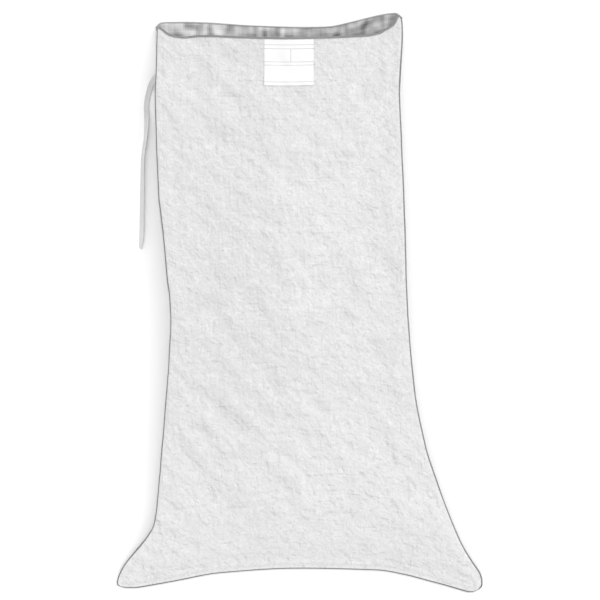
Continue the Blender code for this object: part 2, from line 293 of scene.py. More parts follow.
def bezier(start, start_handle, end_handle, end, steps):
    """One curve piece for each section, without its last point."""
    t = np.linspace(0, 1, steps, endpoint=False)[None, :, None]
    corners = [np.stack(np.broadcast_arrays(*c), axis=-1)[:, None, :]
               for c in (start, start_handle, end_handle, end)]
    weights = ((1 - t) ** 3, 3 * t * (1 - t) ** 2, 3 * t * t * (1 - t), t ** 3)
    return sum(w * c for w, c in zip(weights, corners))


def side_half(edge, inward, depth, height, radius, rounding_steps, fold_steps):
    """The fold of one side, from the end of the rear panel to the end of the front panel."""
    middle = height / 2
    rise = middle - radius
    turn = QUARTER_TURN * radius
    reach = FOLD_ROUND * rise
    inner = edge + inward * radius
    tip = edge + inward * depth
    zero = np.zeros_like(edge)
    pieces = [
        bezier((inner, zero), (inner - inward * turn, zero), (edge, radius - turn),
               (edge, radius), rounding_steps),
        bezier((edge, radius), (edge, radius + reach), (tip, middle - reach),
               (tip, middle), fold_steps),
        bezier((tip, middle), (tip, middle + reach), (edge, height - radius - reach),
               (edge, height - radius), fold_steps),
        bezier((edge, height - radius), (edge, height - radius + turn),
               (inner - inward * turn, height), (inner, height), rounding_steps),
        np.stack([inner, height], axis=-1)[:, None, :],
    ]
    return np.concatenate(pieces, axis=1)


def along(u, v, front_share):
    """Place along the length of the sack, from the bottom seam at v = 0 to the mouth at v = 1."""
    length = LEFT_LENGTH + u * (RIGHT_LENGTH - LEFT_LENGTH)
    bottom = smooth_curve(SEAM_BOW, u) * (1 - v) ** 1.5
    mouth = smooth_curve(MOUTH_BOW, u) * v ** 2
    setback = smooth_curve(MOUTH_SETBACK, u) * v * front_share
    return BOTTOM_LINE + v * length + bottom + mouth - setback


REAR_STEPS = 40
FRONT_STEPS = 104
# Shares of the way across a panel; the rear ones are closer together near the sides
REAR_SHARES = np.linspace(0, 1, REAR_STEPS + 1)[1:-1]
REAR_SHARES = 0.4 * REAR_SHARES + 0.3 * (1 - np.cos(math.pi * REAR_SHARES))
FRONT_SHARES = np.linspace(1, 0, FRONT_STEPS + 1)[1:-1]
FRONT_SHARES = 0.7 * FRONT_SHARES + 0.15 * (1 - np.cos(math.pi * FRONT_SHARES))
ROUNDING_STEPS = 4
FOLD_STEPS = 13
SIDE_POINTS = 2 * ROUNDING_STEPS + 2 * FOLD_STEPS + 1


def middle_of_cloth(v):
    """Rings of points in the middle of the cloth, one ring for each share v of the length."""
    left, right, height, radius, depth = section_sizes(v)
    inner_left = (left + radius)[:, None]
    inner_width = (right - left - 2 * radius)[:, None]
    crown = CROWN * (height - WALL)[:, None] * np.sin(math.pi * FRONT_SHARES) ** 2
    rear_x = inner_left + REAR_SHARES * inner_width
    front_x = inner_left + FRONT_SHARES * inner_width
    rear = np.stack([rear_x, np.zeros_like(rear_x)], axis=-1)
    front = np.stack([front_x, height[:, None] + crown], axis=-1)
    sizes = (depth, height, radius, ROUNDING_STEPS, FOLD_STEPS)
    right_side = side_half(right, -1, *sizes)
    left_side = side_half(left, 1, *sizes)[:, ::-1]
    flat = np.concatenate([rear, right_side, front, left_side], axis=1)
    x = flat[..., 0]
    z = flat[..., 1]
    u = np.clip((x - left[:, None]) / (right - left)[:, None], 0, 1)
    front_share = np.minimum(1.0, z / (2 * radius[:, None]))
    lift = MOUTH_LIFT * np.maximum(0.0, (v - CURL_FROM) / (1 - CURL_FROM)) ** 2
    y = along(u, v[:, None], front_share)
    return np.stack([x + SIDE_SHIFT, y, z + WALL / 2 + lift[:, None]], axis=-1)


trial = middle_of_cloth(np.linspace(0, 1, 50))
print("points round the sack:", trial.shape[1])
print("middle of the cloth, mm:", np.round(1000 * trial.reshape(-1, 3).min(0)),
      np.round(1000 * trial.reshape(-1, 3).max(0)))

# %% [markdown]
# The crumpled cloth
#
# Woven tape cloth is stiff like paper: a sack that was folded and packed keeps hundreds of small
# sharp creases with nearly flat facets between them. A cloth simulation gives soft rounded folds
# instead, so the creases are noise: broad soft hollows, and on them ridged noise, whose ridges are
# sharp as a crease is. It moves the cloth in and out, and the finest creases are left to the
# material. All of them run longer on the slant from upper left to lower right, as the cloth was
# pulled that way. Near the sewn strip, the rim, the long creases, the tie tape and the floor the
# cloth has less room, so it moves less.

# %% Ridged and soft noise at a point
# Size from one to the next, depth, and a seed
SOFT_HOLLOWS = ((0.085, 0.0026, 7.3), (0.031, 0.0040, 31.9), (0.015, 0.0016, 53.2))
SHARP_CREASES = ((0.042, 0.0013, 11.7), (0.019, 0.0006, 23.1))
BEND = 0.35  # how far the creases leave a straight line, in their own size
BEND_SCALE = 0.7  # less than 1, so that a bend is longer than a crease is wide
RIDGE_SLOPE = 3.2  # how steep the sides of a crease are
SLANT_STRETCH = (0.65, 1.15)  # along and across the slant
CREASE_SEED = 4  # noise_vector would start from the clock otherwise, and change with each run
noise.seed_set(CREASE_SEED)


def on_slant(place):
    """A place counted along and across the slant, so that creases come out longer along it."""
    x, y, z = place
    return Vector((SLANT_STRETCH[0] * (x - y), SLANT_STRETCH[1] * (x + y), z)) * math.sqrt(0.5)


def ridged(place, size, seed):
    """From about -1 in a hollow to 1 on a sharp ridge."""
    moved = place / size + Vector((seed, 3 * seed, -seed))
    bent = moved + BEND * noise.noise_vector(BEND_SCALE * moved)
    return 1 - RIDGE_SLOPE * abs(noise.noise(bent))


def crumple_at(place):
    """How far the cloth stands out at a place, in metres."""
    place = on_slant(place)
    out = 0.0
    for size, depth, seed in SOFT_HOLLOWS:
        out += depth * noise.noise(place / size + Vector((seed, -seed, 2 * seed)))
    for size, depth, seed in SHARP_CREASES:
        out += depth * 0.5 * ridged(place, size, seed)
    return out


sample = [crumple_at((0.01 * i, 0.013 * j, 0.06)) for i in range(-15, 15) for j in range(-20, 20)]
print("crumple, mm: mean", round(1000 * float(np.mean(sample)), 2),
      "spread", round(1000 * float(np.std(sample)), 2))


# %% Rows of points from the bottom edge to the mouth
STRIP_WIDTH = 0.012  # the hem at the bottom, where front and rear are sewn together
HOLLOW_FROM = 0.0145  # the inside starts this far above the bottom edge
CLOTH_END = 1 - 0.0009 / LEFT_LENGTH  # the stitches reach round this edge
CLOTH_THICKNESS = 0.0009
STRIP_ROWS = 12
CLOTH_ROWS = 282


def unit(vectors):
    """The same directions, each with a length of 1."""
    return vectors / np.linalg.norm(vectors, axis=-1, keepdims=True)


strip_rows = np.linspace(0, HOLLOW_FROM, STRIP_ROWS, endpoint=False)
cloth_rows = np.linspace(HOLLOW_FROM, CLOTH_END * LEFT_LENGTH, CLOTH_ROWS)
rows = np.concatenate([strip_rows, cloth_rows]) / LEFT_LENGTH
middle = middle_of_cloth(rows)
round_the_ring = np.roll(middle, -1, axis=1) - np.roll(middle, 1, axis=1)
up_the_sack = np.gradient(middle, axis=0)
outward = unit(np.cross(up_the_sack, round_the_ring))
print("rows", len(rows), "points round", middle.shape[1])


# %% Room to move at each point of the cloth, from 0 to 1
def smooth_step(value, low, high):
    share = np.clip((value - low) / (high - low), 0, 1)
    return share * share * (3 - 2 * share)


# Each pair says how far off the cloth starts to move, and from where on it moves freely
HEM_CALM = (STRIP_WIDTH + 0.001, 0.055)
RIM_CALM = (0.0, 0.020)
TAPE_CALM = (0.012, 0.035)
CREASE_CALM = (0.003, 0.020)
FLOOR_CALM = (0.004, 0.016)
FREE_HEIGHT = 0.020  # a section lower than this moves less
RIM_ROOM = 0.35  # what is left at the rim, at a long crease and on the floor
CREASE_ROOM = 0.12
FLOOR_ROOM = 0.3
TAPE_PLACE = 0.697  # how far up the left side the tie tape is sewn in
TAPE_X = -0.186

heights = section_sizes(rows)[2]
room = smooth_step(rows * LEFT_LENGTH, *HEM_CALM) * np.clip(heights / FREE_HEIGHT, 0, 1)
room = np.repeat(room[:, None], middle.shape[1], axis=1)
from_rim = ((rows[-1] - rows) * LEFT_LENGTH)[:, None]
room *= RIM_ROOM + (1 - RIM_ROOM) * smooth_step(from_rim, *RIM_CALM)
from_tape = np.hypot(middle[..., 0] - TAPE_X, middle[..., 1] - (BOTTOM_LINE + TAPE_PLACE))
room *= smooth_step(from_tape, *TAPE_CALM)
# The long creases are pressed in, so they stay straighter than the panels between them
left_edge, right_edge = (SIDE_SHIFT + edge[:, None] for edge in section_sizes(rows)[:2])
from_crease = np.minimum(middle[..., 0] - left_edge, right_edge - middle[..., 0])
room *= CREASE_ROOM + (1 - CREASE_ROOM) * smooth_step(from_crease, *CREASE_CALM)
print("mean room to move:", round(float(room.mean()), 2))

# %% Move the cloth in and out
crumple = room * np.array([[crumple_at(place) for place in row] for row in middle])
# The side on the floor can only move up, and little
off_floor = smooth_step(middle[..., 2], *FLOOR_CALM)
crumple = off_floor * crumple - (1 - off_floor) * FLOOR_ROOM * np.abs(crumple)
middle = middle + outward * crumple[..., None]
print("cloth moves, mm:", round(1000 * crumple.min(), 2), "to", round(1000 * crumple.max(), 2))

# %% Push the rear corner of the mouth out on the left, where it peeps out beside the front one
REAR_PUSH = 0.0026
PUSHED_LENGTH = 0.050  # down from the rim
PUSHED_WIDTH = 0.030  # in from the left edge
PUSHED_HEIGHTS = (0.008, 0.045)  # full below the first, none above the second

push = REAR_PUSH * (1 - smooth_step(from_rim, 0.0, PUSHED_LENGTH))
push = push * (1 - smooth_step(middle[..., 0] - left_edge, 0.0, PUSHED_WIDTH))
push = push * (1 - smooth_step(middle[..., 2], *PUSHED_HEIGHTS))
middle[..., 0] -= push
print("most push, mm:", round(1000 * float(push.max()), 2))

# %% Outer and inner skin, with a rounded bottom edge
EDGE_ROUND = 0.0025  # the bottom edge is folded cloth
FLATTEST = 0.95  # less than 1, so that the edge keeps some thickness

outer = middle + outward * (WALL / 2)
inner = outer - outward * CLOTH_THICKNESS
from_edge = np.clip(1 - rows * LEFT_LENGTH / EDGE_ROUND, 0, FLATTEST)
flatten = np.sqrt(1 - from_edge ** 2)[:, None]
outer[..., 2] = WALL + flatten * (outer[..., 2] - WALL)
outer[..., :2] = middle[..., :2] + flatten[..., None] * (outer[..., :2] - middle[..., :2])
outer[..., 2] = np.maximum(outer[..., 2], 0.0)
print("outer skin, mm:", np.round(1000 * np.ptp(outer.reshape(-1, 3), axis=0), 1))

# %% [markdown]
# One mesh for the sack
#
# The cloth is one sheet, so it is one closed mesh: an outer skin, an inner skin a little inside it,
# and a narrow face round the mouth that joins them. A Solidify modifier would give the same, but
# building both skins keeps the sewn strip solid and lets the inside have its own finish. A second
# map keeps each point's place on the flat tube, so that woven tapes follow the cloth round folds.

# %% Place of each point on the flat tube
FRONT_CENTRE = REAR_STEPS - 1 + SIDE_POINTS + FRONT_STEPS // 2 - 1
REAR_CENTRE = REAR_STEPS // 2 - 1
RIGHT_FOLD = REAR_STEPS - 1 + SIDE_POINTS // 2
LEFT_FOLD = REAR_STEPS - 1 + SIDE_POINTS + FRONT_STEPS - 1 + SIDE_POINTS // 2
points_round = middle.shape[1]


def distance_round(grid, centre, steps_up, steps_down):
    """Length along the ring from the centre point, positive in the order of the ring."""
    found = np.full(grid.shape[:2], np.nan)
    found[:, centre] = 0.0
    for sign, count in ((1, steps_up), (-1, steps_down)):
        total = np.zeros(grid.shape[0])
        for k in range(count):
            here = (centre + sign * k) % points_round
            after = (centre + sign * (k + 1)) % points_round
            total = total + sign * np.linalg.norm(grid[:, after] - grid[:, here], axis=1)
            found[:, after] = total
    return found


smooth_grid = middle_of_cloth(rows)
front_u = -distance_round(smooth_grid, FRONT_CENTRE, LEFT_FOLD - FRONT_CENTRE,
                          FRONT_CENTRE - RIGHT_FOLD)
rear_u = 1.0 + distance_round(smooth_grid, REAR_CENTRE, RIGHT_FOLD - REAR_CENTRE,
                              points_round - LEFT_FOLD + REAR_CENTRE)
flat_v = rows * (LEFT_LENGTH + RIGHT_LENGTH) / 2
print("half round the front at the rows' ends, mm:",
      np.round(1000 * np.nanmax(front_u[[0, 100, -1]], axis=1)))


# %% Faces of the two skins
def skin_faces(last_row, offset, outward_skin):
    """Four-cornered faces between neighbouring rows, all the way round."""
    row = np.arange(last_row)[:, None]
    column = np.arange(points_round)[None, :]
    after = (column + 1) % points_round
    here = offset + row * points_round
    above = here + points_round
    corners = [here + column, here + after, above + after, above + column]
    if outward_skin:
        corners = corners[::-1]
    return np.stack(np.broadcast_arrays(*corners), axis=-1).reshape(-1, 4).tolist()


def closing_faces(ring, offset, outward_skin):
    """Joins the rear half of a flat ring to the front half over it, from right to left."""
    rear = [k % points_round for k in range(RIGHT_FOLD, LEFT_FOLD - points_round - 1, -1)]
    front = list(range(RIGHT_FOLD, LEFT_FOLD + 1))
    faces = []
    i = j = 0
    while i < len(rear) - 1 or j < len(front) - 1:
        rear_next = ring[rear[i + 1], 0] if i < len(rear) - 1 else -1.0
        front_next = ring[front[j + 1], 0] if j < len(front) - 1 else -1.0
        if rear_next > front_next:
            corners = [rear[i], front[j], rear[i + 1]]
            i += 1
        else:
            corners = [rear[i], front[j], front[j + 1]]
            j += 1
        if len(set(corners)) == 3:
            faces.append([offset + k for k in (corners if outward_skin else corners[::-1])])
    return faces


inner_rows = np.arange(STRIP_ROWS, len(rows) - 1, 2)
inner_rows = np.append(inner_rows, len(rows) - 1)
inner_start = len(rows) * points_round
outer_last = (len(rows) - 1) * points_round
inner_last = inner_start + (len(inner_rows) - 1) * points_round
faces = skin_faces(len(rows) - 1, 0, True)
faces += closing_faces(outer[0], 0, True)
for k in range(points_round):
    after = (k + 1) % points_round
    faces.append([outer_last + k, inner_last + k, inner_last + after, outer_last + after])
inside_from = len(faces)
faces += skin_faces(len(inner_rows) - 1, inner_start, False)
faces += closing_faces(inner[STRIP_ROWS], inner_start, False)
places = np.concatenate([outer.reshape(-1, 3), inner[inner_rows].reshape(-1, 3)])
print("faces", len(faces), "points", len(places))

# %% Make the mesh, with the flat map
sack_mesh = bpy.data.meshes.new("sack_cloth")
sack_mesh.from_pydata(places.tolist(), [], faces)
face_count = len(sack_mesh.polygons)
finish_of_face = np.zeros(face_count, np.int32)
finish_of_face[inside_from:] = 1
sack_mesh.polygons.foreach_set("material_index", finish_of_face)
sack_mesh.polygons.foreach_set("use_smooth", np.ones(face_count, bool))

corner_point = np.empty(len(sack_mesh.loops), np.int32)
sack_mesh.loops.foreach_get("vertex_index", corner_point)
corners_in_face = np.empty(face_count, np.int32)
sack_mesh.polygons.foreach_get("loop_total", corners_in_face)
columns = corner_point % points_round
face_of_corner = np.repeat(np.arange(face_count), corners_in_face)
face_starts = np.concatenate([[0], np.cumsum(corners_in_face)[:-1]])
between = (columns > RIGHT_FOLD) & (columns < LEFT_FOLD)
face_on_front = np.maximum.reduceat(between.astype(np.int8), face_starts)
corner_on_front = face_on_front[face_of_corner].astype(bool)


def with_inner_rows(values):
    """Values for each point of the outer skin, and then for each point of the inner skin."""
    return np.concatenate([values.reshape(-1), values[inner_rows].reshape(-1)])


all_front_u = with_inner_rows(front_u)[corner_point]
all_rear_u = with_inner_rows(rear_u)[corner_point]
own_half = np.where(corner_on_front, all_front_u, all_rear_u)
other_half = np.where(corner_on_front, all_rear_u, all_front_u)
flat_map = np.empty((len(corner_point), 2), np.float32)
flat_map[:, 0] = np.where(np.isnan(own_half), other_half, own_half)
all_v = np.repeat(flat_v[:, None], points_round, axis=1)
flat_map[:, 1] = with_inner_rows(all_v)[corner_point]
sack_mesh.uv_layers.new(name="flat_cloth").data.foreach_set("uv", flat_map.ravel())
print("flat map spans, m:", np.round(flat_map.min(0), 3), np.round(flat_map.max(0), 3))

# %% [markdown]
# The grey line of wear and painted shade
#
# A used sack is rubbed and soiled where it touches the ground and its neighbours: in a thin line
# along both long edges and the bottom edge. The grey of the line is partly that wear and partly
# painted shade, the dark edge that the rounded creases would show. A line of faces with its own
# material would follow the mesh and show steps. So each point of the mesh keeps its distance from
# the outermost line of the sack, seen from above, and the material turns grey where that is less
# than the width of the line.

# %% Distance from the long edges and the bottom edge, counted in widths of the line
# Widths of the grey line, which paints wear and edge shade together
LEFT_WORN_AND_SHADED = 0.0016
RIGHT_WORN_AND_SHADED = 0.0019
BOTTOM_WORN_AND_SHADED = 0.0015
FOLD_WORN_AND_SHADED = 0.0016  # how far the line reaches into the fold between two creases


def from_long_edge(outermost, rows_near=15):
    """Distance, seen from above, from each point to the line through each row's outermost one."""
    edge = smooth_outer[np.arange(len(rows)), outermost, :2]
    nearest = np.full(smooth_outer.shape[:2], np.inf)
    for shift in range(-rows_near, rows_near + 1):
        start = np.clip(np.arange(len(rows)) + shift, 0, len(rows) - 2)
        step = (edge[start + 1] - edge[start])[:, None]
        away = smooth_outer[..., :2] - edge[start][:, None]
        share = np.clip((away * step).sum(axis=2) / (step * step).sum(axis=2), 0, 1)
        gap = np.linalg.norm(away - share[..., None] * step, axis=2)
        nearest = np.minimum(nearest, gap)
    return nearest


smooth_outer = smooth_grid + outward * (WALL / 2)
from_left = from_long_edge(smooth_outer[..., 0].argmin(axis=1)) / LEFT_WORN_AND_SHADED
from_right = from_long_edge(smooth_outer[..., 0].argmax(axis=1)) / RIGHT_WORN_AND_SHADED
from_bottom = rows[:, None] * LEFT_LENGTH / BOTTOM_WORN_AND_SHADED
# Between the front and the rear crease the line of wear and painted shade ends sooner, because
# inside the fold nothing rubs
crease_height, crease_radius = (size[:, None] for size in section_sizes(rows)[2:4])
low_crease = WALL / 2 + crease_radius
high_crease = WALL / 2 + crease_height - crease_radius
into_fold = np.minimum(smooth_grid[..., 2] - low_crease, high_crease - smooth_grid[..., 2])
into_fold = np.maximum(0.0, into_fold) / FOLD_WORN_AND_SHADED
in_line_widths = np.minimum(np.minimum(from_left, from_right) + into_fold, from_bottom)
line_layer = sack_mesh.attributes.new("from_line", "FLOAT", "POINT")
line_layer.data.foreach_set("value", with_inner_rows(in_line_widths).astype(np.float32))
sack = put_in_scene("sack_cloth", sack_mesh)
sack_mesh.validate()
print("points on the worn lines:", int((in_line_widths < 1).sum()))

# %% [markdown]
# Finish of the cloth
#
# Flat white tapes of 2.5 mm, woven one over one. From a few metres the tapes are too fine to see
# and leave only faint lines along and across. Each tape has its own shade, and the weave and the
# finest creases are relief in the normals only, because real geometry would need millions of faces.
# Where a fine crease is sharp the tapes are stretched, so they turn whiter in a thin line. Towards
# the bottom the cloth is a little rougher, and painted light makes it whiter, where its slope turns
# away from the sun.


# %% Helpers for sums and maps
def calculate(add, operation, *values):
    """One Math node, and its output."""
    node = add("ShaderNodeMath", {"operation": operation})
    for socket, value in zip(node.inputs, values):
        feed(socket, value)
    return node.outputs[0]


def add_up(add, *terms):
    """Sum of outputs, each times its own factor."""
    total = 0.0
    for value, factor in terms:
        total = calculate(add, "MULTIPLY_ADD", value, factor, total)
    return total


def on_map(add, name):
    """Place on a flat map of the piece, and its two numbers."""
    place = add("ShaderNodeUVMap", {"uv_map": name}).outputs[0]
    split = add("ShaderNodeSeparateXYZ", _0=place)
    return place, split.outputs[0], split.outputs[1]


# %% Woven tapes, from the flat map
TAPE_PITCH = 0.0025
SHARE_OF_TAPES = 0.25  # how much of the change in shade comes from tapes, patches and flecks
SHARE_OF_PATCHES = 0.25
SHARE_OF_FLECKS = 0.5


def woven_finish(name, light_grey, dark_grey):
    """Woven tapes: returns the material, its shader, the node helper, colour and relief."""
    material, shader, add = new_material(name)
    _, *flat_place = on_map(add, "flat_cloth")
    shades = []
    domes = []
    counts = []
    for axis in (0, 1):
        in_tapes = calculate(add, "DIVIDE", flat_place[axis], TAPE_PITCH)
        count = calculate(add, "FLOOR", in_tapes)
        # Each tape draws its shade from its own number, the two directions far apart
        draw = calculate(add, "ADD", count, 0.5 + 4000 * axis)
        shades.append(add("ShaderNodeTexWhiteNoise", {"noise_dimensions": "1D"},
                          W=draw).outputs["Value"])
        from_middle = calculate(add, "SUBTRACT", calculate(add, "FRACT", in_tapes), 0.5)
        squared = calculate(add, "MULTIPLY", from_middle, from_middle)
        domes.append(calculate(add, "MULTIPLY", squared, -4.0))
        counts.append(count)
    over = calculate(add, "PINGPONG", calculate(add, "ADD", *counts), 1.0)
    relief = add("ShaderNodeMix", _0=over, _2=domes[0], _3=domes[1]).outputs[0]
    shade = add("ShaderNodeMix", _0=over, _2=shades[0], _3=shades[1]).outputs[0]
    position = on_object(add)
    mixed = add_up(add, (shade, SHARE_OF_TAPES),
                   (clouds(add, position, 9.0, detail=3.0), SHARE_OF_PATCHES),
                   (clouds(add, position, 380.0), SHARE_OF_FLECKS))
    colour = blend_colours(add, mixed, grey(dark_grey), grey(light_grey))
    return material, shader, add, colour, relief


woven_cloth, shader, add, colour, relief = (
    woven_finish("woven_cloth", light_grey=214, dark_grey=196))
print("nodes in the woven cloth so far:", len(woven_cloth.node_tree.nodes))


# %% Helpers that change a range and stretch a pattern
def change_range(add, value, low, high, to_low=0.0, to_high=1.0, kind="LINEAR"):
    """A number that is to_low where the value is low, and to_high where it is high."""
    return add("ShaderNodeMapRange", {"interpolation_type": kind},
               _0=value, _1=low, _2=high, _3=to_low, _4=to_high).outputs[0]


def stretched(add, place, scale):
    """The same places, counted in other units in each direction."""
    return add("ShaderNodeMapping", Vector=place, Scale=scale).outputs[0]


# %% Colour of the outside: painted light low down, whiter on sharp creases, grey line of wear and painted shade
LOW_DOWN = (0.26, 0.05)  # from nothing to all of it, in metres up from the bottom
# Painted light: the lower slope turns away from the sun, so its colour is lifted there
LOW_PAINTED_LIGHT = 0.6
LOW_PAINTED_LIGHT_GREY = 220
WEAVE_DEPTH = 0.00011
FINE_CREASES = ((50.0, 0.0045), (120.0, 0.0024))  # noise scale, and depth in metres
CREASE_HALF_WIDTH = 0.03  # of the noise round its middle
CREASE_WHITER = 0.25
CREASE_GREY = 237
# Grey of the line: partly wear, partly painted shade of the edges
WORN_AND_SHADED_GREY = 106
WORN_AND_SHADED_RANGE = (1.15, 0.85)  # the line fades in between these, in widths

flat_place, flat_across, flat_up = on_map(add, "flat_cloth")
# Painted light low down, to lift the shaded lower slope
colour = blend_colours(add, change_range(add, flat_up, *LOW_DOWN, to_high=LOW_PAINTED_LIGHT),
                       colour, grey(LOW_PAINTED_LIGHT_GREY))
position = on_object(add)
turned = add("ShaderNodeMapping", Vector=position, Rotation=(0.0, 0.0, math.radians(45)))
slanted = stretched(add, turned.outputs[0], (*SLANT_STRETCH, 1.0))
heights_added = [(relief, WEAVE_DEPTH)]
for scale, depth in FINE_CREASES:
    field = clouds(add, slanted, scale, roughness=0.55)
    heights_added.append((field, depth))
    ridge = calculate(add, "ABSOLUTE", calculate(add, "SUBTRACT", field, 0.5))
    stressed = change_range(add, ridge, CREASE_HALF_WIDTH, 0.0, to_high=CREASE_WHITER)
    colour = blend_colours(add, stressed, colour, grey(CREASE_GREY))
from_line = add("ShaderNodeAttribute", {"attribute_name": "from_line"}).outputs["Fac"]
# The line's grey is wear and painted shade of the edges together
worn_and_shaded = change_range(add, from_line, *WORN_AND_SHADED_RANGE, kind="SMOOTHSTEP")
feed(shader.inputs["Base Color"], blend_colours(add, worn_and_shaded, colour, grey(WORN_AND_SHADED_GREY)))
print("fine creases, mm deep:", [1000 * depth for _, depth in FINE_CREASES])


# %% Relief of the outside: weave, fine creases, grain, and creases along and across the tapes
def emboss(add, shader, height):
    """Relief of this height in metres, in the normals only."""
    bump = add("ShaderNodeBump", Strength=1.0, Distance=1.0, Height=height)
    feed(shader.inputs["Normal"], bump.outputs["Normal"])


GRAIN_DEPTH = 0.0028
ALIGNED_CREASES = ((16.0, 75.0, 0.0028), (45.0, 220.0, 0.0013))  # per metre both ways, depth
LOW_ROUGHER = 1.3

grain = clouds(add, position, 130.0, detail=3.0, roughness=0.6)
heights_added.append((grain, GRAIN_DEPTH))
for low, high, depth in ALIGNED_CREASES:
    for scale in ((low, high, 1.0), (high, low, 1.0)):
        heights_added.append((clouds(add, stretched(add, flat_place, scale), 1.0), depth))
rougher = change_range(add, flat_up, *LOW_DOWN, to_low=1.0, to_high=LOW_ROUGHER)
height = calculate(add, "MULTIPLY", add_up(add, *heights_added), rougher)
emboss(add, shader, height)
gloss = clouds(add, position, 40.0)
feed(shader.inputs["Roughness"], calculate(add, "MULTIPLY_ADD", gloss, 0.2, 0.30))
shader.inputs["Specular IOR Level"].default_value = 0.5
sack_mesh.materials.append(woven_cloth)
print("layers of relief:", len(heights_added))

# %% [markdown]
# The inside
#
# Over the front rim the inside of the rear panel shows as a mottled grey strip. Its colour is
# painted
# light and shade: the cloth is painted much whiter than the outside, to stand for light that comes
# through the weave under the front rim, and the blots are painted light and shade of creased tapes,
# so they have straight sides: the noise is read at the crossings of the tapes only. Long blots along
# the tapes, long ones across and square ones are added up. The strip gets darker to the right. A
# picture of mottled cloth would do too, but it fixes its size.

# %% Finish of the inside
INSIDE_BLOTS = ((80.0, 26.0, 0.45), (30.0, 120.0, 0.25), (55.0, 55.0, 0.30))  # per metre, share
DARKER_TO_THE_RIGHT = -0.22
LIGHT_RANGE = (0.13, 0.46)  # darkest blots, and plain cloth
INSIDE_WEAVE_DEPTH = 0.0001

# Painted light: the inside is far whiter than the outside cloth, to lift the shade under the front
# rim
inside_cloth, shader, add, colour, relief = (
    woven_finish("inside_cloth", light_grey=254, dark_grey=246))
flat_place, flat_across, flat_up = on_map(add, "flat_cloth")
crossing = add("ShaderNodeVectorMath", {"operation": "SNAP"},
               _0=flat_place, _1=(TAPE_PITCH,) * 3).outputs[0]
light_added = [(flat_across, DARKER_TO_THE_RIGHT)]
for low, high, share in INSIDE_BLOTS:
    blots = clouds(add, stretched(add, crossing, (low, high, 1.0)), 1.0, detail=1.0)
    light_added.append((blots, share))
light = change_range(add, add_up(add, *light_added), *LIGHT_RANGE)
# The blots blend towards dark grey: painted shade of creased tapes
feed(shader.inputs["Base Color"], blend_colours(add, light, grey(96), colour))
emboss(add, shader, calculate(add, "MULTIPLY", relief, INSIDE_WEAVE_DEPTH))
shader.inputs["Roughness"].default_value = 0.6
sack_mesh.materials.append(inside_cloth)
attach(sack, "root")
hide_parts("sack_body")
print("materials on the cloth:", [m.name for m in sack_mesh.materials])


# %% [markdown]
# The overcast mouth
#
# The raw edge of the cut tube frays, so a grey thread is sewn round it in close slanting stitches,
# a few millimetres deep. Its dark grey is partly the thread's own colour and partly painted shade,
# the dark line under the front rim. Over nine hundred U-shaped stitches are one shape repeated along
# a line, which is work for Geometry Nodes: the rim gives the points, each with the direction out of
# the cloth and the direction along it, and the node tree sets the same small stitch on each of them,
# a little turned, larger or smaller. Near the floor the thread is paler: partly rubbed, and partly
# painted light that lifts the rear rim out of the shade of the front panel.


# %% Points at equal steps along a line, with their two directions
def length_along(line):
    """Length from the first point of a line to each of its points."""
    steps = np.linalg.norm(np.diff(line, axis=0), axis=1)
    return np.concatenate([[0.0], np.cumsum(steps)])


def values_at(stops, reached, values):
    """Places or directions at the given lengths along a line."""
    return np.stack([np.interp(stops, reached, values[:, k]) for k in range(3)], axis=1)


def spread_points(name, line, out, along_cloth, spacing, closed):
    """A mesh of loose points with the directions out and along as attributes."""
    if closed:
        line, out, along_cloth = (np.vstack([a, a[:1]]) for a in (line, out, along_cloth))
    reached = length_along(line)
    count = int(round(reached[-1] / spacing))
    stops = np.arange(count) * reached[-1] / count + (0 if closed else spacing / 2)
    mesh = bpy.data.meshes.new(name)
    mesh.from_pydata(values_at(stops, reached, line).tolist(), [], [])
    for label, directions in (("out", out), ("along", along_cloth)):
        layer = mesh.attributes.new(label, "FLOAT_VECTOR", "POINT")
        found = values_at(stops, reached, directions)
        layer.data.foreach_set("vector", found.astype(np.float32).ravel())
    print(name, "has", count, "stitches on", round(float(reached[-1]), 3), "m")
    return put_in_scene(name, mesh)


print("round the mouth, m:", round(float(length_along(middle[-1])[-1]), 3))


# %% The node tree that sets one stitch on each point
MOST_TURN = 0.09  # of a single stitch, in radians
STITCH_SIZES = (0.93, 1.07)  # smallest and largest, as a share of the usual one


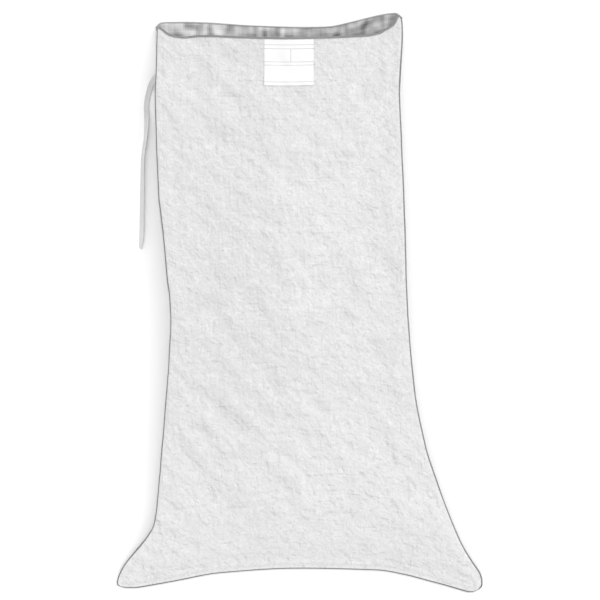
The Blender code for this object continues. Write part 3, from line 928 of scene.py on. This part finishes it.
def stitch_tree(name, make_path, sizes):
    """A node tree with the given named sizes. make_path builds the middle line of one stitch."""
    tree = bpy.data.node_groups.new(name, "GeometryNodeTree")
    sockets = tree.interface
    sockets.new_socket("Points", in_out="INPUT", socket_type="NodeSocketGeometry")
    for label, value in sizes.items():
        socket = sockets.new_socket(label, in_out="INPUT", socket_type="NodeSocketFloat")
        socket.default_value = value
    sockets.new_socket("Seed", in_out="INPUT", socket_type="NodeSocketInt")
    sockets.new_socket("Thread", in_out="INPUT", socket_type="NodeSocketMaterial")
    sockets.new_socket("Stitches", in_out="OUTPUT", socket_type="NodeSocketGeometry")
    add = node_maker(tree)
    given = add("NodeGroupInput")

    def draw(low=0.0, high=1.0):
        """A number of its own for each stitch."""
        return add("FunctionNodeRandomValue", {"data_type": "FLOAT"},
                   Seed=given.outputs["Seed"], _2=low, _3=high).outputs[1]

    def direction(label):
        return add("GeometryNodeInputNamedAttribute", {"data_type": "FLOAT_VECTOR"},
                   Name=label).outputs[0]

    path = make_path(add, given)
    profile = add("GeometryNodeCurvePrimitiveCircle", Resolution=5,
                  Radius=given.outputs["Thread Radius"])
    tube = add("GeometryNodeCurveToMesh", Curve=path, _1=profile.outputs[0])
    tube.inputs["Fill Caps"].default_value = True
    turn = add("FunctionNodeAxesToRotation", {"primary_axis": "Z", "secondary_axis": "Y"},
               _0=direction("out"), _1=direction("along"))
    wobble = add("FunctionNodeAxisAngleToRotation", Axis=(0.0, 0.0, 1.0),
                 Angle=draw(-MOST_TURN, MOST_TURN))
    turned = add("FunctionNodeRotateRotation", {"rotation_space": "LOCAL"},
                 _0=turn.outputs[0], _1=wobble.outputs[0])
    placed = add("GeometryNodeInstanceOnPoints", Points=given.outputs["Points"],
                 Instance=tube.outputs[0], Rotation=turned.outputs[0], Scale=draw(*STITCH_SIZES))
    toned = add("GeometryNodeStoreNamedAttribute", {"data_type": "FLOAT", "domain": "INSTANCE"},
                Geometry=placed.outputs[0], Name="tone", Value=draw())
    real = add("GeometryNodeRealizeInstances", Geometry=toned.outputs[0])
    smooth = add("GeometryNodeSetShadeSmooth", Geometry=real.outputs[0])
    painted = add("GeometryNodeSetMaterial", Geometry=smooth.outputs[0],
                  Material=given.outputs["Thread"])
    add("NodeGroupOutput", Stitches=painted.outputs[0])
    return tree


def sew(points, tree, sizes, seed, material, name):
    """Runs the node tree on the points and keeps the result as a plain mesh."""
    modifier = points.modifiers.new("stitches", "NODES")
    modifier.node_group = tree
    values = {**sizes, "Seed": seed, "Thread": material}
    for item in tree.interface.items_tree:
        if item.item_type == "SOCKET" and item.in_out == "INPUT" and item.name in values:
            modifier[item.identifier] = values[item.name]
    evaluated = points.evaluated_get(bpy.context.evaluated_depsgraph_get())
    mesh = bpy.data.meshes.new_from_object(evaluated)
    mesh.name = name
    bpy.data.objects.remove(points)
    print(name, "has", len(mesh.polygons), "faces")
    return put_in_scene(name, mesh)


print("a stitch turns by up to", round(math.degrees(MOST_TURN), 1), "degrees")


# %% Thread material: twisted strands, each stitch a little lighter or darker
# Below these heights the thread colour is rubbed wear and painted light together
RUBBED_AND_LIT_HEIGHTS = (0.014, 0.006)  # not rubbed above the first, and most below the second
MOST_RUBBED_AND_LIT = 0.6
STRAND_DEPTH = 0.00006


def thread_finish(name, dark_grey, light_grey, rubbed_and_lit_grey):
    """A thread of two greys, and of a third one near the floor, for wear and painted light together.
    """
    material, shader, add = new_material(name)
    tone = add("ShaderNodeAttribute", {"attribute_name": "tone"}).outputs["Fac"]
    position = on_object(add)
    mixed = add_up(add, (tone, 0.6), (clouds(add, position, 900.0), 0.4))
    colour = blend_colours(add, mixed, grey(dark_grey), grey(light_grey))
    height = add("ShaderNodeSeparateXYZ", _0=position).outputs[2]
    rubbed_and_lit = change_range(add, height, *RUBBED_AND_LIT_HEIGHTS, to_high=MOST_RUBBED_AND_LIT)
    feed(shader.inputs["Base Color"], blend_colours(add, rubbed_and_lit, colour, grey(rubbed_and_lit_grey)))
    strands = add("ShaderNodeTexWave", {"bands_direction": "DIAGONAL"}, Vector=position,
                  Scale=700.0, Distortion=1.0).outputs["Fac"]
    emboss(add, shader, calculate(add, "MULTIPLY", strands, STRAND_DEPTH))
    shader.inputs["Roughness"].default_value = 0.7
    shader.inputs["Sheen Weight"].default_value = 0.15
    return material


print("thread is rubbed below, mm:", 1000 * RUBBED_AND_LIT_HEIGHTS[0])


# %% Overcast stitches round the mouth
OVERCAST_SIZES = {
    "Thread Radius": 0.00045,
    "Depth Outside": 0.0021,
    "Depth Inside": 0.0008,
    "Half Thickness": 0.0007,
    "Slant": 0.0009,
}
OVERCAST_SPACING = 0.00115
OVER_THE_EDGE = 0.0012  # how high the handles of the curve stand over the raw edge
BULGE = 4.0  # how far they stand out, in half thicknesses


def overcast_path(add, given):
    """A thread that goes up the outside, over the raw edge and down the inside."""
    def point(x, y, z):
        return add("ShaderNodeCombineXYZ", X=x, Y=y, Z=z).outputs[0]

    def times(value, factor):
        return calculate(add, "MULTIPLY", value, factor)

    slant = given.outputs["Slant"]
    half = given.outputs["Half Thickness"]
    return add(
        "GeometryNodeCurvePrimitiveBezierSegment",
        Resolution=7,
        Start=point(times(slant, -0.5), times(given.outputs["Depth Outside"], -1.0), half),
        _2=point(times(slant, -0.5), OVER_THE_EDGE, times(half, BULGE)),
        _3=point(times(slant, 0.5), OVER_THE_EDGE, times(half, -BULGE)),
        End=point(times(slant, 0.5), times(given.outputs["Depth Inside"], -1.0), times(half, -1.0)),
    ).outputs[0]


rim = (outer[-1] + inner[-1]) / 2
rim_steps = np.roll(rim, -1, axis=0) - np.roll(rim, 1, axis=0)
rim_along = unit(np.cross(rim_steps, outward[-1]))
# Dark grey: thread colour and painted shade of the front rim; paler near the floor: wear and painted
# light
grey_thread = thread_finish("grey_thread", dark_grey=133, light_grey=154, rubbed_and_lit_grey=213)
overcast = sew(
    spread_points("rim_points", rim, outward[-1], rim_along, OVERCAST_SPACING, closed=True),
    stitch_tree("overcast_stitch", overcast_path, OVERCAST_SIZES),
    OVERCAST_SIZES, 5, grey_thread, "mouth_overcast_thread")
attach(overcast, "root")
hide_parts("mouth_hem_thread")

# %% [markdown]
# The bottom seam
#
# The bottom is folded and closed by a chain stitch, which a bag closer sews in one run. On the
# front it shows as a row of long white loops, each through the one before. White thread on white
# cloth is nearly unseen from above, but it is what holds the sack shut, and from close by it shows.
# The same node tree sews it, with a flat loop as its stitch.

# %% Chain stitches across the sewn strip
CHAIN_SIZES = {"Thread Radius": 0.00045, "Loop Length": 0.0088, "Loop Width": 0.0022}
CHAIN_SPACING = 0.0066
SEAM_HEIGHT = 0.007  # from the bottom edge up to the thread
SEAM_ENDS = 0.006  # from the side edges to its ends
SEAM_PROUD = 0.0003  # how far the middle of the thread stands off the cloth


def chain_path(add, given):
    """One long loop that lies flat on the cloth."""
    ring = add("GeometryNodeCurvePrimitiveCircle", Resolution=12, Radius=0.5)
    size = add("ShaderNodeCombineXYZ", X=given.outputs["Loop Width"],
               Y=given.outputs["Loop Length"], Z=1.0)
    flat_ring = add("GeometryNodeTransform", Geometry=ring.outputs[0], Scale=size.outputs[0])
    return flat_ring.outputs[0]


seam_row = float(np.interp(SEAM_HEIGHT, rows * LEFT_LENGTH, np.arange(len(rows))))
front_columns = np.arange(RIGHT_FOLD + 1, LEFT_FOLD)[::-1]
low_row, share = int(seam_row), seam_row % 1
seam_line = (1 - share) * outer[low_row, front_columns] + share * outer[low_row + 1, front_columns]
seam_x = seam_line[:, 0]
inside_ends = (seam_x > seam_x.min() + SEAM_ENDS) & (seam_x < seam_x.max() - SEAM_ENDS)
seam_line = seam_line[inside_ends]
seam_out = np.tile((0.0, 0.0, 1.0), (len(seam_line), 1))
seam_along = unit(np.gradient(seam_line, axis=0))
seam_line = seam_line + seam_out * SEAM_PROUD
white_thread = thread_finish("white_thread", dark_grey=212, light_grey=232, rubbed_and_lit_grey=224)
chain = sew(
    spread_points("seam_points", seam_line, seam_out, seam_along, CHAIN_SPACING, closed=False),
    stitch_tree("chain_stitch", chain_path, CHAIN_SIZES),
    CHAIN_SIZES, 9, white_thread, "bottom_chain_thread")
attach(chain, "root")
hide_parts("bottom_seam_thread")

# %% [markdown]
# The label
#
# A thin white film hangs from the mouth edge and lies on the front panel, with nothing on it but
# thin grey rules between its fields. A print on the cloth would need no shape, but the label has
# edges of its own and hides the weave, so it is a sheet of its own. It lies on the crumpled cloth,
# takes over its broad hollows, and its lower corners stand off a little.


# %% A point on the front panel, from the rows and columns of the cloth
def point_on_front(x, v):
    """Point and outward direction on the crumpled front at place x and share v of the length."""
    row = float(np.interp(v, rows, np.arange(len(rows))))
    low = min(int(row), len(rows) - 2)
    rise = row - low
    first = REAR_STEPS - 1 + SIDE_POINTS
    front = (slice(low, low + 2), slice(first, first + FRONT_STEPS - 1))
    across = middle[front][..., 0]
    found = []
    for grid in (outer[front], outward[front]):
        pair = [[np.interp(x, across[k][::-1], grid[k, ::-1, axis]) for axis in range(3)]
                for k in (0, 1)]
        found.append((1 - rise) * np.array(pair[0]) + rise * np.array(pair[1]))
    return found


LABEL_X = (-0.047, 0.020)  # left and right edge
LABEL_LENGTH = 0.0664
LABEL_TOP = 1 - 0.0032 / LEFT_LENGTH  # just below the stitches of the mouth edge
FILM = 0.0003
OFF_CLOTH = 0.00025
LABEL_STEPS = 40
CORNER_LIFT = 0.0016
CURL_START = 0.6  # share of the way down where the corners begin to lift

label_bottom = LABEL_TOP - LABEL_LENGTH / LEFT_LENGTH
low_points = []
high_points = []
label_map = []
for down in np.linspace(0, 1, LABEL_STEPS + 1):
    for right in np.linspace(0, 1, LABEL_STEPS + 1):
        x = SIDE_SHIFT + LABEL_X[0] + right * (LABEL_X[1] - LABEL_X[0])
        place, direction = point_on_front(x, LABEL_TOP + down * (label_bottom - LABEL_TOP))
        curled = max(0.0, down - CURL_START) / (1 - CURL_START)
        lift = OFF_CLOTH + CORNER_LIFT * curled ** 2 * (2 * right - 1) ** 4
        low_points.append(place + direction * lift)
        high_points.append(place + direction * (lift + FILM))
        label_map.append((right, 1 - down))
print("label, mm:", np.round(1000 * np.ptp(np.array(high_points), axis=0), 1))


# %% A closed film from two grids of points
def film_object(name, low_points, high_points, columns, flat_places, map_name):
    """Two skins and the narrow faces round them, as one closed mesh with a flat map."""
    count = len(low_points)
    lines = count // columns
    faces = []
    for i in range(lines - 1):
        for j in range(columns - 1):
            a = i * columns + j
            quad = [a, a + columns, a + columns + 1, a + 1]
            faces.append([count + k for k in quad])
            faces.append(quad[::-1])
    border = list(range(columns - 1))
    border += [i * columns + columns - 1 for i in range(lines - 1)]
    border += [(lines - 1) * columns + j for j in range(columns - 1, 0, -1)]
    border += [i * columns for i in range(lines - 1, 0, -1)]
    for a, b in zip(border, border[1:] + border[:1]):
        faces.append([a, count + a, count + b, b])
    mesh = bpy.data.meshes.new(name)
    mesh.from_pydata([tuple(p) for p in (*low_points, *high_points)], [], faces)
    bm = bmesh.new()
    bm.from_mesh(mesh)
    bmesh.ops.recalc_face_normals(bm, faces=bm.faces)
    layer = bm.loops.layers.uv.new(map_name)
    for face in bm.faces:
        face.smooth = True
        for corner in face.loops:
            corner[layer].uv = flat_places[corner.vert.index % count]
    bm.to_mesh(mesh)
    bm.free()
    print(name, "has", len(mesh.polygons), "faces")
    return put_in_scene(name, mesh)


label = film_object("label_film", low_points, high_points, LABEL_STEPS + 1, label_map, "on_label")

# %% Label material: white film with thin rules between blank fields
RULES_DOWN = (0.119, 0.203, 0.485, 0.556, 0.918)  # all as shares of the label
RULE_ACROSS = (0.537, 0.203, 0.485)  # where it stands, and from where to where it runs down
RULE_WIDTH = 0.006
RULE_GREY = 120

label_white, shader, add = new_material("label_white")
_, across, from_foot = on_map(add, "on_label")
down = calculate(add, "SUBTRACT", 1.0, from_foot)


def near(value, place):
    """1 where the value lies on the rule, and 0 beside it."""
    off = calculate(add, "ABSOLUTE", calculate(add, "SUBTRACT", value, place))
    return calculate(add, "LESS_THAN", off, RULE_WIDTH / 2)


rule_place, start, stop = RULE_ACROSS
between = calculate(add, "MULTIPLY", calculate(add, "GREATER_THAN", down, start),
                    calculate(add, "LESS_THAN", down, stop))
ink = calculate(add, "MULTIPLY", near(across, rule_place), between)
for place in RULES_DOWN:
    ink = calculate(add, "MAXIMUM", near(down, place), ink)
position = on_object(add)
paper = blend_colours(add, clouds(add, position, 60.0, detail=3.0), grey(221), grey(226))
feed(shader.inputs["Base Color"], blend_colours(add, ink, paper, grey(RULE_GREY)))
emboss(add, shader, calculate(add, "MULTIPLY", clouds(add, position, 160.0), 0.00015))
shader.inputs["Roughness"].default_value = 0.42
label.data.materials.append(label_white)
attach(label, "root")
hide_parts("label")
print("rules on the label:", len(RULES_DOWN) + 1)

# %% [markdown]
# The tie tape
#
# A narrow flat woven tape is sewn into the left fold, to tie the full sack shut. It comes out over
# the rear crease, drops to the floor and lies there in a slack line. Along the lower half it is
# turned on its edge by up to 50 degrees, so it looks narrower, and its tip is cut on a slant. A
# curve with a flat profile would do, but turn and tip are easier to steer as a strip that is built
# point by point along its middle line.


# %% A smooth line through a few points
def through_points(points, steps):
    """A smooth line through the given points."""
    spread = np.array([points[0], *points, points[-1]], float)
    line = []
    for i in range(1, len(spread) - 2):
        before, start, end, after = spread[i - 1:i + 3]
        for t in np.linspace(0, 1, steps, endpoint=False):
            line.append(0.5 * (
                2 * start
                + (end - before) * t
                + (2 * before - 5 * start + 4 * end - after) * t ** 2
                + (3 * start - before - 3 * end + after) * t ** 3
            ))
    line.append(spread[-1])
    return np.array(line)


print("half way from the first to the second of three points:",
      through_points([(0, 0, 0), (1, 1, 0), (2, 0, 0)], 2)[1])


# %% Route of the tape: in the left fold, over the rear crease, down, and along the floor
TAPE_WIDTH = 0.007
TAPE_THICKNESS = 0.0005
TAPE_STEP = 0.0015
TAPE_SEWN_LENGTH = 0.030
TAPE_CLEARANCE = 0.0005
LEAVES_FOLD = 0.003  # inside the left edge, where the tape lets go of the cloth
FOLD_POINTS = 11
FINE_STEPS = 24  # points on each half of the fold
# Raw places from the bottom line up, as in the solids
TAPE_ON_FLOOR = [
    (-0.2072, 0.671), (-0.2089, 0.656), (-0.2085, 0.640), (-0.210, 0.612), (-0.2135, 0.586),
    (-0.2145, 0.530), (-0.2155, 0.4625),
]


def over_left_fold(inside, clearance):
    """A point above the cloth of the left fold that faces up, this far inside the left edge."""
    v = np.array([TAPE_PLACE / LEFT_LENGTH])
    left, right, height, radius, depth = section_sizes(v)
    layer = side_half(left, 1, depth, height, radius, ROUNDING_STEPS, FINE_STEPS)[0]
    layer = layer[ROUNDING_STEPS:ROUNDING_STEPS + FINE_STEPS + 1]
    steps = unit(np.gradient(layer, axis=0))
    above = layer + np.stack([-steps[:, 1], steps[:, 0]], axis=1) * (WALL / 2 + clearance)
    x = left[0] - WALL / 2 + inside
    return x, TAPE_PLACE, float(np.interp(x, above[:, 0], above[:, 1])) + WALL / 2


in_fold = np.linspace(TAPE_SEWN_LENGTH, LEAVES_FOLD, FOLD_POINTS)
route = [over_left_fold(inside, TAPE_CLEARANCE) for inside in in_fold]
x, y, z = route[-1]
route += [(x - 0.005, y - 0.001, z - 0.003), (x - 0.011, y - 0.010, z / 3)]
route += [(x, y, TAPE_THICKNESS / 2) for x, y in TAPE_ON_FLOOR]
rough_line = through_points(route, 6) + (SIDE_SHIFT, BOTTOM_LINE, 0.0)
reached = length_along(rough_line)
# Even steps, and closer ones round the tip
round_tip = TAPE_WIDTH / 2 * np.cos(np.linspace(0, math.pi / 2, 9)[1:])
even_stops = np.arange(0, reached[-1] - TAPE_WIDTH / 2, TAPE_STEP)
tape_line = values_at(np.concatenate([even_stops, reached[-1] - round_tip]), reached, rough_line)
print("points along the tape:", len(tape_line))

# %% How far the tape is turned on its edge, in degrees, at places along the sack
TURN = [(0.07, -24), (0.10, -31), (0.14, -38), (0.174, -45), (0.20, -50), (0.226, -50),
        (0.262, -8), (0.29, 0), (0.4, 0)]
turn = np.radians(np.interp(tape_line[:, 1], *np.array(TURN, float).T))
# Each value becomes the mean of itself and three on either side
turn = np.convolve(np.pad(turn, 3, mode="edge"), np.ones(7) / 7, mode="valid")
raised = TAPE_THICKNESS / 2 + TAPE_WIDTH / 2 * np.sin(np.abs(turn))
tape_line[:, 2] = np.maximum(tape_line[:, 2], raised)
from_root = length_along(tape_line)
tape_length = float(from_root[-1])
print("tape length, m:", round(tape_length, 4))

# %% The strip itself, slightly cupped, with a round and slanted tip
ACROSS = np.linspace(-1, 1, 9)
CUPPED = 0.0003
SLANTED_SHARE = 0.2  # of the half width that is left at the tip on that side
TIP_WIDTH = 0.0004  # half of what is left at the very end
OFF_FLOOR = 0.00002
SLANTED_END = 0.016  # how far from the tip the slanted cut starts on the side of the sack

tangents = unit(np.gradient(tape_line, axis=0))
low_points = []
high_points = []
tape_map = []
for point, tangent, angle, rest in zip(tape_line, tangents, turn, tape_length - from_root):
    sideways = unit(np.cross(tangent, (0, 0, 1)))
    up = np.cross(sideways, tangent)
    wide = math.cos(angle) * sideways + math.sin(angle) * up
    thick = math.cos(angle) * up - math.sin(angle) * sideways
    half = TAPE_WIDTH / 2
    if rest < half:
        half = math.sqrt(max(TIP_WIDTH ** 2, half ** 2 - (half - rest) ** 2))
    slant = min(1.0, SLANTED_SHARE + (1 - SLANTED_SHARE) * rest / SLANTED_END)
    for share in ACROSS:
        share *= slant if share < 0 else 1.0
        place = point + wide * half * share + thick * CUPPED * (share ** 2 - 0.4)
        low_point = place - thick * TAPE_THICKNESS / 2
        low_point[2] = max(low_point[2], OFF_FLOOR)
        low_points.append(low_point)
        high_points.append(place + thick * TAPE_THICKNESS / 2)
        tape_map.append((half * share, tape_length - rest))
tape = film_object("tie_tape_strip", low_points, high_points, len(ACROSS), tape_map, "on_tape")

# %% Tape material: ribs along it and fine weft across
RIB_STEP, WEFT_STEP = 0.0009, 0.0012
RIB_DEPTH, WEAVE_OF_TAPE = 0.00005, 0.00004

tape_white, shader, add = new_material("tape_white")
_, across, upwards = on_map(add, "on_tape")
ribs = calculate(add, "SINE", calculate(add, "MULTIPLY", across, 2 * math.pi / RIB_STEP))
weft = calculate(add, "SINE", calculate(add, "MULTIPLY", upwards, 2 * math.pi / WEFT_STEP))
woven = calculate(add, "MULTIPLY", ribs, weft)
emboss(add, shader, add_up(add, (ribs, RIB_DEPTH), (woven, WEAVE_OF_TAPE)))
shade = add_up(add, (woven, 0.2), (clouds(add, on_object(add), 80.0, detail=3.0), 1.0))
feed(shader.inputs["Base Color"], blend_colours(add, shade, grey(198), grey(215)))
shader.inputs["Roughness"].default_value = 0.5
tape.data.materials.append(tape_white)
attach(tape, "root")
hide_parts("tie_tape")
